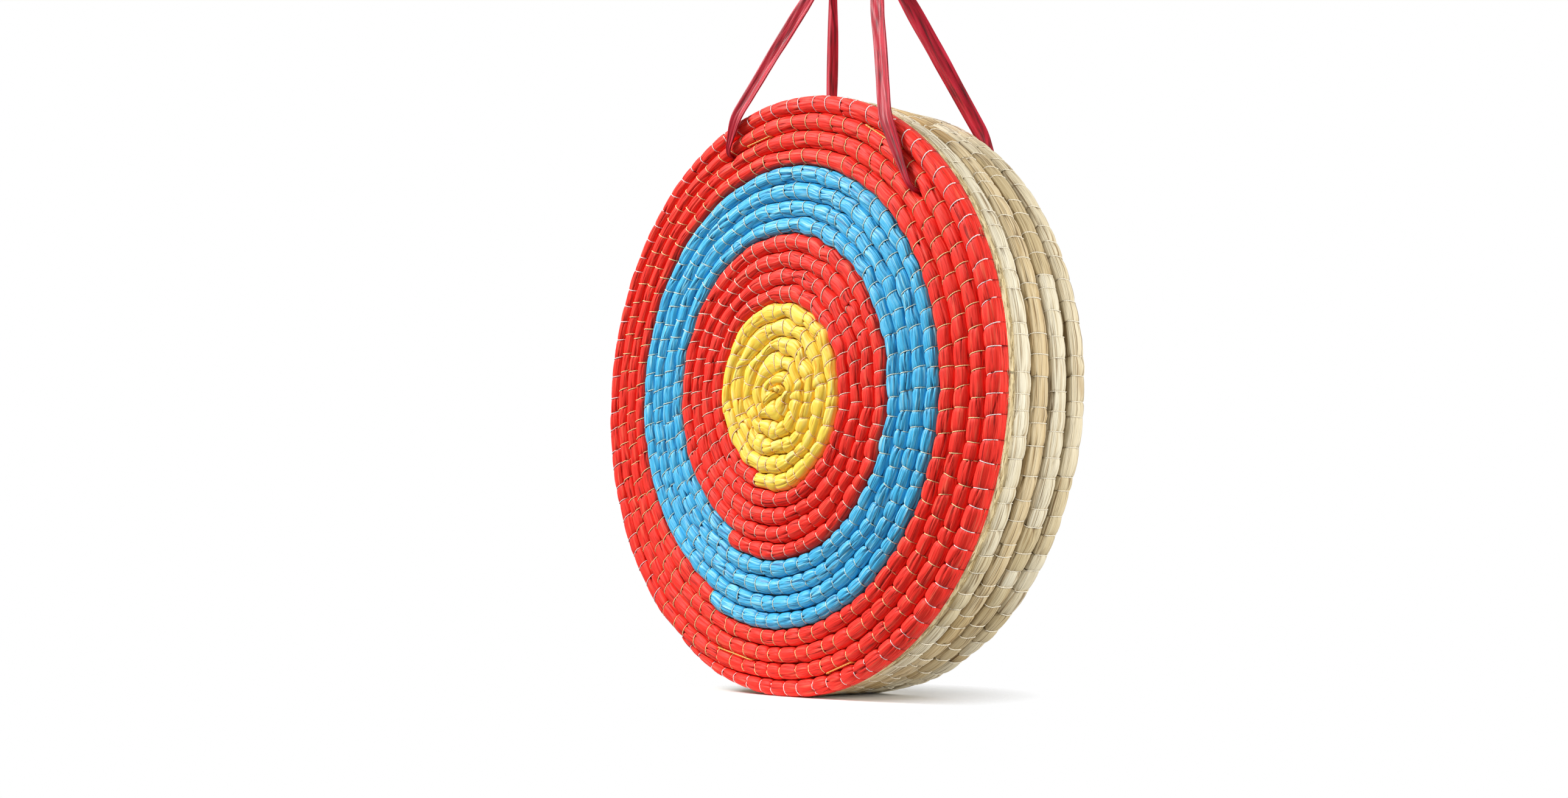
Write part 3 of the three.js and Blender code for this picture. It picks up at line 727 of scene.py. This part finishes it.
camera = bpy.data.objects.new("camera", bpy.data.cameras.new("camera"))
back = Vector(direction(CAMERA_AZIMUTH, CAMERA_ELEVATION))
right = Vector(direction(CAMERA_AZIMUTH + 90, 0))
turned = Matrix((right, back.cross(right), back)).transposed().to_4x4()
camera.matrix_world = Matrix.Translation(CAMERA_PLACE) @ turned
camera.data.lens = LENS
camera.data.sensor_width = SENSOR
stage.collection.objects.link(camera)
stage.camera = camera
stage.view_settings.view_transform = "Standard"

FLOOR_SIZE = 8
FLOOR_FADE = (0.08, 0.18)  # the distances over which the floor turns clear
floor_corners = FLOOR_SIZE * np.array([(-1, -1, 0), (1, -1, 0), (1, 1, 0), (-1, 1, 0)])
floor = put_mesh("floor", floor_corners, [np.array([[0, 1, 2, 3]])])
matt, floor_tree, place = new_material("matt white floor", 1.0, "Object", Base_Color=linear("F7F7F6"))
away = add(floor_tree, "VectorMath", {0: place}, operation="LENGTH").outputs["Value"]
sockets = {
    0: rise(floor_tree, away, *FLOOR_FADE),
    1: floor_tree.nodes["Principled BSDF"].outputs[0],
    2: add(floor_tree, "BsdfTransparent").outputs[0],
}
blended = add(floor_tree, "MixShader", sockets)
floor_tree.links.new(blended.outputs[0], floor_tree.nodes["Material Output"].inputs[0])
floor.data.materials.append(matt)

SKY_BELOW = 0.18  # the light's strength from below and from above
SKY_ABOVE = 0.44
SKY_FADE = 0.5  # of the direction's height
LAMP_DISTANCE = 2.6
world = bpy.data.worlds.new("white studio")
world.use_nodes = True
stage.world = world
sky = world.node_tree
paths = add(sky, "LightPath").outputs
above = add(sky, "SeparateXYZ", {0: add(sky, "TexCoord").outputs["Generated"]}).outputs["Z"]
lit = rise(sky, above, -SKY_FADE, SKY_FADE, SKY_ABOVE, SKY_BELOW)
seen = combined(sky, "MAXIMUM", paths["Is Camera Ray"], paths["Is Glossy Ray"])
seen = combined(sky, "MAXIMUM", seen, paths["Is Transmission Ray"])
strength = add(sky, "Mix", {0: seen, 2: lit, 3: 1.0}, data_type="FLOAT")
ground = sky.nodes["Background"]
ground.inputs["Color"].default_value = (1, 1, 1, 1)
sky.links.new(strength.outputs[0], ground.inputs["Strength"])


def soft_lamp(name, azimuth, elevation, power, size):
    """A square softbox that looks at the middle of the boss."""
    lamp = bpy.data.objects.new(name, bpy.data.lights.new(name, "AREA"))
    lamp.data.energy = power
    lamp.data.size = size
    out = Vector(direction(azimuth, elevation))
    lamp.rotation_euler = out.to_track_quat("Z", "Y").to_euler()
    lamp.location = out * LAMP_DISTANCE + Vector((0, 0, CENTRE_HEIGHT))
    stage.collection.objects.link(lamp)


soft_lamp("key softbox", -38, 40, 92, 1.0)
soft_lamp("side softbox", 106, 12, 43, 0.9)
soft_lamp("light thrown back by the floor", 95, -40, 14, 1.2)

# The front layer
CLOTH_POINTS = 31
CLOTH_SECTION = cloth_section(CLOTH_POINTS)
CLOTH_THREAD_COLUMNS = np.linspace(0, CLOTH_POINTS - 1, THREAD_STEPS).round().astype(int)
CLOTH_LOOK = dict(
    slant=STITCH_SLANT, hook=STITCH_HOOK, pinch=0.52 * MM, pinch_power=9, crown=0.22 * MM, fuller=1.9,
    laps=0, waver=0, heart_fill=1.6 * MM, uneven=0.25 * MM, leaf_uneven=0, new_leaf=1, creases=6,
    crease_width=(0.011, 0.026), crease_depth=3.0 * MM, gathers=0.45, stitch_shade=0.5,
)


def add_winding(name, start, end, cloth, spacing, seed, **look):
    """One colour's length of the front rope."""
    rng = np.random.default_rng(SEED + seed)
    stitches = face.stitches(start, end, spacing, CLOTH_JITTER, rng)
    rope = Rope(face, stitches, CLOTH_SECTION, (FRONT_Y, WRAP_BACK_Y), CLOTH_LOOK | look, rng)
    finish(rope.skin(name + "_winding_cloth"), cloth + " cloth", replaced=[name + "_winding"])
    return rope


blue_start = face.even_turns - BLUE_TURNS
red_start = blue_start - INNER_RED_TURNS
red_end = face.end_turn - 1.5 * TIP_TURNS
last_row = face.end_turn - 1
heart_spacing = ([0, 1, 4.8], [9 * MM, 10.5 * MM, 13.5 * MM])  # of the stitches, by turns
yellow = add_winding("yellow", -HEART_TURNS, red_start, "yellow", heart_spacing, 1, uneven=0.5 * MM)
inner_red = add_winding("inner_red", red_start, blue_start, "red", 14.5 * MM, 2)
blue = add_winding("blue", blue_start, face.even_turns, "blue", 15.5 * MM, 3,
                   crease_depth=3.2 * MM, creases=9)
outer_red = add_winding("outer_red", face.even_turns, red_end, "red", 17 * MM, 4)
for name, rope, material, start, end in [
    ("yellow", yellow, "rose thread", 0, np.inf),
    ("inner_red", inner_red, "cream thread", 0, np.inf),
    ("blue", blue, "pale thread", 0, np.inf),
    ("outer_red", outer_red, "golden thread", 0, last_row),
    ("rim", outer_red, "white thread", last_row, np.inf),
]:
    begins = rope.turns[:-1]
    chosen = np.flatnonzero((begins >= start) & (begins < end))
    finish(rope.threads(name + "_stitches", chosen, CLOTH_THREAD_COLUMNS), material)

# The layers behind it
HUSK_LOOK = dict(
    slant=11, hook=0.1, pinch=0.5 * MM, pinch_power=8, crown=0.4 * MM, fuller=0.3,
    laps=0.5 * MM, waver=0.2, heart_fill=1.6 * MM, uneven=0.45 * MM, leaf_uneven=0.4 * MM, new_leaf=0.25,
    creases=12, crease_width=(0.012, 0.03), crease_depth=2.4 * MM, gathers=0.7, stitch_shade=0.7,
)


def layer_depths(index):
    near = FRONT_Y + LAYER_DEPTH * index + LAYER_GAP / 2
    return near, near + LAYER_DEPTH - LAYER_GAP


def add_husk_rope(name, coil, start, depths, husk, seed, section, columns):
    """A layer's rope of husk, with its stitches."""
    rng = np.random.default_rng(SEED + seed)
    stitches = coil.stitches(start, coil.end_turn - TIP_TURNS, HUSK_SPACING, HUSK_JITTER, rng)
    rope = Rope(coil, stitches, section, depths, HUSK_LOOK, rng)
    finish(rope.skin(name + "_husk"), husk, replaced=[name])
    threads = rope.threads(name + "_stitches", np.arange(len(stitches) - 1), columns)
    finish(threads, "brown thread")


HUSK_SPACING = 18 * MM
RIM_SECTION = husk_section(32, 2.8)
RIM_COLUMNS = np.linspace(6, 26, THREAD_STEPS).round().astype(int)  # the side that shows on the rim
LAYERS = {"second": "pale husk", "third": "tan husk", "fourth": "pale husk"}
for index, (layer, husk) in enumerate(LAYERS.items(), start=1):
    coil = plain_coil(ROPE_ENDS[layer])
    start = coil.end_turn - 1 + LAYER_GAP / (4 * np.pi * BOSS_RADIUS)
    rope_name = layer + "_layer_rim_rope"
    add_husk_rope(rope_name, coil, start, layer_depths(index), husk, 10 + index, RIM_SECTION, RIM_COLUMNS)
    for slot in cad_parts[layer + "_layer_core"].material_slots:
        slot.material = materials["hidden husk"]

# The back coil's section has one point on the side that is pressed against the layer before it.
BACK_POINTS = 20
BACK_HIDDEN = 4
BACK_SEEN = range(7, BACK_POINTS)
BACK_SECTION = husk_section(BACK_POINTS, 2.9)[[BACK_HIDDEN, *BACK_SEEN]]
BACK_COLUMNS = np.linspace(1, len(BACK_SEEN), THREAD_STEPS).round().astype(int)
back_depths = (layer_depths(4)[0], BACK_Y)
add_husk_rope("back_coil", plain_coil(ROPE_ENDS["back"]), -HEART_TURNS, back_depths, "back husk", 20,
              BACK_SECTION, BACK_COLUMNS)

# The bare straw: for the backing's wall, its depths and how far inside the rim it lies there
BACKING_STEPS = 720
BACKING_WALL = [
    (WRAP_BACK_Y - 0.6 * MM, 3.2 * MM), (WRAP_BACK_Y, 1.6 * MM), (-36 * MM, 0.8 * MM),
    (-34.2 * MM, 0.6 * MM), (-32.5 * MM, 0.9 * MM), (BACKING_BACK_Y, 1.8 * MM),
]
BACKING_ROUGHNESS = 0.9 * MM
BACKING_SMOOTHING = 7
BACKING_LIFT = 0.5 * MM  # over the floor
FOOT_SINE = -0.9  # of the angle, under which it is near the floor
STRAND_STEPS = 5
STRAND_SIDES = 3
STRAND_ROOT = 1.2 * MM  # inside the rim
STRAND_TAPER = 0.7


def above_floor(radius, angle, height, less=0.0):
    """Radii that near the foot end at a height below the middle, less a length."""
    foot = height / np.maximum(-np.sin(angle), 0.5) - less
    return np.where(np.sin(angle) < FOOT_SINE, np.minimum(radius, foot), radius)


def add_straw_backing():
    """The bare straw behind the cloth: a disc whose outer wall's radius varies with the angle, as a sum of
    bumps some millimetres long."""
    rng = np.random.default_rng(SEED + 30)
    y, inset = np.array(BACKING_WALL).T[..., None]
    angle = TAU * np.arange(BACKING_STEPS) / BACKING_STEPS
    rough = rng.normal(0, 1, (len(y), BACKING_STEPS))
    kernel = np.hanning(BACKING_SMOOTHING) / np.hanning(BACKING_SMOOTHING).sum()
    one_turn = slice(BACKING_STEPS, 2 * BACKING_STEPS)
    rough = np.stack([np.convolve(np.tile(row, 3), kernel, "same")[one_turn] for row in rough])
    radius = BOSS_RADIUS - inset + BACKING_ROUGHNESS * rough
    radius = above_floor(radius, angle, CENTRE_HEIGHT - BACKING_LIFT)
    rings = on_face(radius * np.exp(1j * angle), y)
    made = skin("front_straw_backing_fibres", rings, stacked(angle * BOSS_RADIUS, y))
    return finish(made, "bare straw", replaced=["front_straw_backing"])


add_straw_backing()


def add_strands(name, count, seed, material, y_range, lift_range, length_range, lean, radius):
    """Loose strands on the rim: each starts at a random angle and depth, and runs along the rim as it leans
    backwards and lifts off by the square of the share along it."""
    rng = np.random.default_rng(SEED + seed)
    start = rng.uniform(0, TAU, count)[:, None]
    share = np.linspace(0, 1, STRAND_STEPS)[None]
    length = rng.uniform(*length_range, count)[:, None]
    way = rng.choice([-1, 1], count)[:, None]
    lean = rng.normal(*lean, count)[:, None]
    away = rng.uniform(*lift_range, count)[:, None] * share**2
    angle = start + way * np.cos(lean) * length * share / BOSS_RADIUS
    y = rng.uniform(*y_range, count)[:, None] + np.sin(lean) * length * share
    rim = above_floor(BOSS_RADIUS - STRAND_ROOT + away, angle, CENTRE_HEIGHT, radius)
    paths = on_face(rim * np.exp(1j * angle), y)
    outward = stacked(np.cos(angle), 0, np.sin(angle))
    made = tubes(name, paths, outward, radius, STRAND_SIDES, 1 - STRAND_TAPER * share)
    return finish(made, material)


add_strands("straw_strands", 1100, 31, "bare straw", (-38.5 * MM, -31 * MM), (0.2 * MM, 2.2 * MM),
            (8 * MM, 30 * MM), (0, 0.12), 0.32 * MM)
add_strands("frayed_cloth", 650, 32, "red cloth", (-40 * MM, -38.6 * MM), (0.2 * MM, 1.6 * MM),
            (1.5 * MM, 4.5 * MM), (1.2, 0.5), 0.2 * MM)


# The ribbons
RIBBON_FLAT_WIDTH = 20 * MM
HOOK_OFFSET = 40.6 * MM  # the point that both loops are drawn towards, beside the middle
HOOK_RISE = 188 * MM  # and over the rim
KNOT_RISE = 125 * MM
RIBBON_THICKNESS = 0.45 * MM
RIBBON_FACE_Y = -FRONT_Y + 3.3 * MM
RIBBON_WIDEST = 16.8 * MM
RIBBON_CREASE = 4 * MM  # where it is widest
RIBBON_SLACK = 1.1  # how much wider its creased section is than it looks
RIBBON_STEP = 3 * MM
RIBBON_COLUMNS = 20
RIPPLE = 0.14 * MM
SLOW_DRIFT = 70 * MM
QUICK_DRIFT = 23 * MM
HEM_COLUMNS = 8  # over the edge that is turned in behind
HEM_LEAST = 0.05
HEM_DEPTH = 1.5 * MM
HEM_BEND = 0.12
BORE_WIDTH = 5 * MM
# Millimetres along a loop's line, how far behind its place on the face, and the width
MOUTH_PATH = ((0, 9, 5), (1, 3, 4), (4, 0.4, 4.5), (12, 0, 6.5))
# Shares of the way to the rim, and then on to the knot, and the widths there in millimetres
FACE_WIDTHS = ((0.6, 11.5), (1, 15))
FREE_WIDTHS = ((0.12, 16), (0.35, 16.8), (0.65, 16), (0.88, 12), (1, 8))
KNOT_HALF_GAP = 1.6 * MM
KNOT_RADIUS = 7.5 * MM
KNOT_LENGTH = 17 * MM
KNOT_ROWS = 34
KNOT_SIDES = 40
KNOT_TURNED = 0.6  # radians, how far the slant is turned round it
KNOT_SLANT = 3.6 * MM
KNOT_FOLD_SLANT = 2.6 * MM
KNOT_GROOVE = 1.5 * MM
KNOT_FOLD = 0.3 * MM
KNOT_FOLD_WIDTH = 2.3 * MM
TAIL_LENGTH = 24 * MM
TAIL_WIDTH = 9 * MM
TAIL_ROWS = 14
TAIL_COLUMNS = 9
TAIL_ROOT = 3 * MM  # inside the knot
TAIL_NOTCH = 0.16
TAIL_SPLAY = 13  # degrees
TAIL_CURL = 0.9 * MM


def loop_line(side):
    """A loop's own line, from its bore towards the hook, and how far along it the knot begins."""
    line = complex(HOOK_OFFSET, BOSS_RADIUS + HOOK_RISE) - BORES[side]
    line /= abs(line)
    return line, (BOSS_RADIUS + KNOT_RISE - BORES[side].imag) / line.imag


def on_loop(side, along, across, y):
    """Points from places along a loop's line, across it and in depth."""
    return on_face(BORES[side] + loop_line(side)[0] * (along - 1j * across), y)


def both_sides(front, back):
    """The two sides of a sheet as rings round it: the second runs back the other way."""
    return np.concatenate([front, back[:, ::-1]], axis=1)


def ribbon_path(side):
    """Places along the loop's line, depths and widths of half a ribbon, from the middle of the bore."""
    line, knot_at = loop_line(side)
    along = (BORES[side] / line).real
    rim = np.sqrt(along**2 + BOSS_RADIUS**2 - abs(BORES[side]) ** 2) - along
    y = RIBBON_FACE_Y
    path = [(0, 0, BORE_WIDTH)]
    path += [(s * MM, y - behind * MM, w * MM) for s, behind, w in MOUTH_PATH]
    path += [(rim * t, y, w * MM) for t, w in FACE_WIDTHS]
    path += [(rim + (knot_at - rim) * t, y * (1 - t) + KNOT_HALF_GAP * t, w * MM) for t, w in FREE_WIDTHS]
    return np.array(path)


def resampled(points, step):
    """Points at even steps along a line through points, smoothed by a short running mean."""
    length = running_length(points[:, :2])
    even = read_at(points, length, np.linspace(0, length[-1], int(length[-1] / step) + 1))
    kernel = np.ones(5) / 5
    padded = np.pad(even, ((2, 2), (0, 0)), mode="edge")
    smooth = np.stack([np.convolve(column, kernel, "valid") for column in padded.T], axis=-1)
    smooth[0], smooth[-1] = even[0], even[-1]
    return smooth


def add_ribbon(side, seed):
    """A ribbon loop on a path down through the bore and up both sides to the knot. Its section is a sharp
    valley, straight from its middle out, that drifts along it as two sines, with a cosine's ripples on it.
    The width that doesn't show is turned in behind one edge."""
    rng = np.random.default_rng(SEED + seed)
    half = ribbon_path(side)
    path = resampled(np.concatenate([(half[1:] * (1, -1, 1))[::-1], half]), RIBBON_STEP)
    s, y, width = path.T[..., None]
    out = unit(np.gradient(path[:, :2], axis=0))[:, ::-1] * (-1, 1)
    hidden = np.clip(RIBBON_FLAT_WIDTH / (RIBBON_SLACK * width) - 1, HEM_LEAST, 1)
    seen = np.linspace(-1, 1, RIBBON_COLUMNS) * np.ones((len(s), 1))
    share = np.concatenate([seen, 1 + 2 * hidden * np.linspace(0, 1, HEM_COLUMNS)[1:]], axis=1)
    length = running_length(path[:, :2])[:, None]
    drift = 0.5 * np.sin(length / SLOW_DRIFT + rng.uniform(0, 6)) + 0.25 * np.sin(length / QUICK_DRIFT)
    shown = np.where(share > 1, 2 - share, share)
    valley = np.minimum(np.abs(shown - 0.5 * drift), 1)
    pleat = RIBBON_CREASE * width / RIBBON_WIDEST * (valley - 0.4)
    pleat = pleat + RIPPLE * np.cos(np.pi * (3.4 * shown + 3 * drift))
    pleat = pleat - HEM_DEPTH * np.minimum(np.maximum(share - 1, 0) / HEM_BEND, 1)
    flat = shown * width / 2
    sides = []
    for lift in (pleat, pleat - RIBBON_THICKNESS):
        sides.append(on_loop(side, s + out[:, :1] * lift, flat, y + out[:, 1:] * lift))
    width_at = (share + 1) * RIBBON_FLAT_WIDTH / (share[:, -1:] + 1)
    made = skin(side + "_ribbon_satin", both_sides(*sides), stacked(length, both_sides(width_at, width_at)))
    finish(made, "satin ribbon", side + "_loop", [side + "_ribbon"])
    flat = (RIBBON_FLAT_WIDTH, float(length[-1, 0]))


def add_knot(side):
    """An overhand knot: a lathe form of two turns whose groove and folds run round it on the slant, as the
    height less a cosine of the angle."""
    knot_at = loop_line(side)[1]
    t = np.linspace(0.004, 0.996, KNOT_ROWS)[:, None]
    angle = TAU * np.arange(KNOT_SIDES) / KNOT_SIDES
    height = t * KNOT_LENGTH
    tilt = height - KNOT_LENGTH / 2 - KNOT_SLANT * np.cos(angle + KNOT_TURNED)
    fold = height + KNOT_FOLD_SLANT * np.cos(angle + KNOT_TURNED) * np.sign(tilt)
    dent = KNOT_GROOVE * np.exp(-((tilt / MM) ** 2)) + KNOT_FOLD * np.cos(TAU * fold / KNOT_FOLD_WIDTH)
    radius = KNOT_RADIUS * np.sin(np.pi * t) ** 0.38 * (0.94 + 0.06 * np.cos(2 * angle))
    radius = radius - dent * np.sin(np.pi * t)
    rings = on_loop(side, knot_at + height, radius * np.cos(angle), radius * np.sin(angle))
    knot = skin(side + "_knot_satin", rings, stacked(angle * KNOT_RADIUS, height))
    finish(knot, "satin ribbon", side + "_loop", [side + "_knot"])


def add_tail(side, number, way):
    """A cut end of ribbon over the knot, splayed forwards or back and curled across by a cosine. Its end is
    notched in the middle."""
    t = np.linspace(0, 1, TAIL_ROWS)[:, None]
    share = np.linspace(-1, 1, TAIL_COLUMNS)
    up = t * TAIL_LENGTH * (1 - TAIL_NOTCH * (1 - np.abs(share)) * t**6)
    curl = TAIL_CURL * np.cos(np.pi * 1.6 * share + number) * (0.4 + 0.6 * t)
    deep = way * (0.8 * MM + np.tan(np.radians(TAIL_SPLAY)) * up) + curl
    flat = share * TAIL_WIDTH * (0.4 + 0.6 * np.minimum(t * 2, 1) ** 0.6) / 2
    along = loop_line(side)[1] + KNOT_LENGTH - TAIL_ROOT + up
    sides = [on_loop(side, along, flat, deep + off) for off in (-RIBBON_THICKNESS / 2, RIBBON_THICKNESS / 2)]
    uv = stacked(both_sides(up, up), both_sides(flat, flat))
    tail = skin(f"{side}_tail_{number + 1}", both_sides(*sides), uv)
    finish(tail, "satin ribbon", side + "_loop")


for seed, side in enumerate(BORES, start=40):
    add_ribbon(side, seed)
    add_knot(side)
    add_tail(side, 0, -1)
    add_tail(side, 1, 1)

# The ties
TIE_FACE_Y = 48.9 * MM
TIE_STEP = 0.5 * MM
TIE_SIDES = 10
TIE_TWIST = 3.2 * MM
TIE_CORNER = 1.6 * MM
TIE_CORNER_POINTS = 7
TIE_SWELL = 0.14  # of its radius, how far its two plies stand out


def add_tie(name):
    """A closed loop of two-ply cord: its section's radius swells twice round, and the swelling turns once in
    so many millimetres. Its path is a rectangle with round corners, through the layers and back."""
    a, b = TIE_ENDS[name]
    width = abs(b - a) / 2
    corner = min(TIE_CORNER, width * 0.9)
    turn = np.linspace(0, np.pi / 2, TIE_CORNER_POINTS)
    outline = []
    for quarter, (side, face_way) in enumerate([(1, -1), (1, 1), (-1, 1), (-1, -1)]):
        angle = turn + (quarter - 1) * np.pi / 2
        across = side * (width - corner) + corner * np.cos(angle)
        outline.append(stacked(across, face_way * (TIE_FACE_Y - corner) + corner * np.sin(angle)))
    outline = np.concatenate([*outline, outline[0][:1]])
    length = running_length(outline)
    steps = int(length[-1] / TIE_STEP)
    at = np.linspace(0, length[-1], steps, endpoint=False)
    path = read_at(outline, length, at)
    out = unit(np.roll(path, -1, axis=0) - np.roll(path, 1, axis=0))[:, ::-1] * (1, -1)
    angle = TAU * np.arange(TIE_SIDES) / TIE_SIDES
    twist = TAU * round(length[-1] / TIE_TWIST) * np.arange(steps)[:, None] / steps
    radius = CORD_RADIUS * (1 - TIE_SWELL + TIE_SWELL * np.cos(2 * angle - twist))
    flat = path[:, None] + out[:, None] * (radius * np.cos(angle))[..., None]
    place = (a + b) / 2 + (b - a) / abs(b - a) * (flat[..., 0] + 1j * radius * np.sin(angle))
    faces = grid_faces(steps + 1, TIE_SIDES) % (steps * TIE_SIDES)
    uv = stacked(at[:, None], CORD_RADIUS * angle)
    made = put_mesh(name + "_cord", on_face(place, flat[..., 1]), [faces], uv)
    return finish(made, "gold cord", replaced=[name])


for name in TIES:
    add_tie(name)
